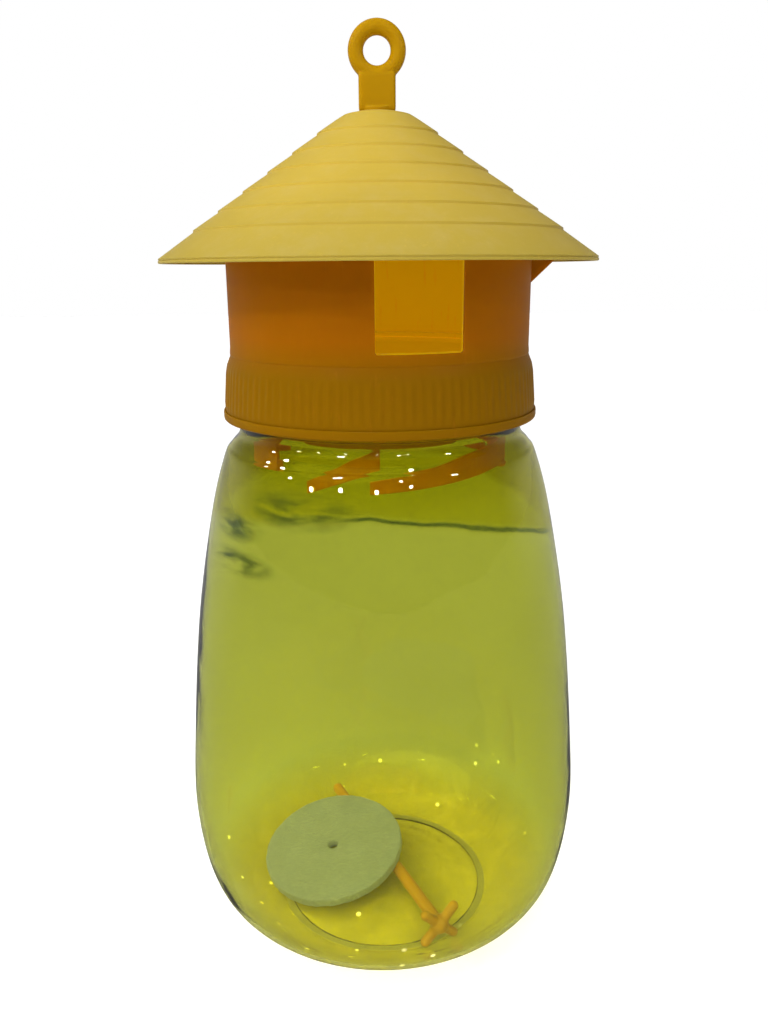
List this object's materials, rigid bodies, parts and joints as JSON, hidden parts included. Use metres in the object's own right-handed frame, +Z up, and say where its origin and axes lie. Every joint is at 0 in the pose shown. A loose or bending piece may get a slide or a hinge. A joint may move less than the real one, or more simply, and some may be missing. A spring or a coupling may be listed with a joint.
{
  "type": "wasp trap",
  "caption": "Hanging bottle trap for wasps and fruit flies: tinted screw-neck jar, windowed cap under a cone roof with a hanging eye, neck baffle, loose lure rod and disc.",
  "frame": {"origin": "centre of the jar's standing ring, on the surface it stands on", "axes": "+Z up along the jar's axis; -Y is the front, with the front entry window turned 14 degrees to the right (+X) of it"},
  "size_m": [0.0946, 0.0946, 0.2064],
  "materials": {
    "jar_tinted": "clear, yellow-green tint, gloss",
    "cap_amber": "translucent amber, satin",
    "roof_yellow": "pale yellow, satin",
    "hanger_amber": "amber yellow, satin",
    "baffle_orange": "orange, satin",
    "rod_orange": "orange yellow, satin",
    "disc_fibre": "pressed fibre, pale grey green"
  },
  "bodies": {
    "jar": {"jar": "jar_tinted"},
    "baffle": {"neck_baffle": "baffle_orange"},
    "cap": {"entry_cap": "cap_amber", "roof": "roof_yellow"},
    "hanger": {"hanger_eye": "hanger_amber", "lure_socket": "hanger_amber"},
    "rod": {"lure_rod": "rod_orange"},
    "disc": {"lure_disc": "disc_fibre"}
  },
  "joints": [
    {"name": "cap_rise", "type": "slide", "parent": "jar", "child": "baffle", "axis": [0, 0, 1], "range_m": [0, 0.031]},
    {"name": "cap_turn", "type": "hinge", "parent": "baffle", "child": "cap", "pos_m": [0, 0, 0.14], "axis": [0, 0, 1], "range_deg": [0, 2700]},
    {"name": "hanger_swivel", "type": "hinge", "parent": "cap", "child": "hanger", "pos_m": [0, 0, 0.186], "axis": [0, 0, 1], "continuous": true},
    {"name": "lure_rod_lift", "type": "slide", "parent": "jar", "child": "rod", "axis": [0, 0, 1], "range_m": [0, 0.05]},
    {"name": "lure_disc_lift", "type": "slide", "parent": "rod", "child": "disc", "axis": [0, 0, 1], "range_m": [0, 0.03]}
  ],
  "couplings": [
    {"joint": "cap_rise", "follows": "cap_turn", "m_per_rad": 0.00063662}
  ]
}
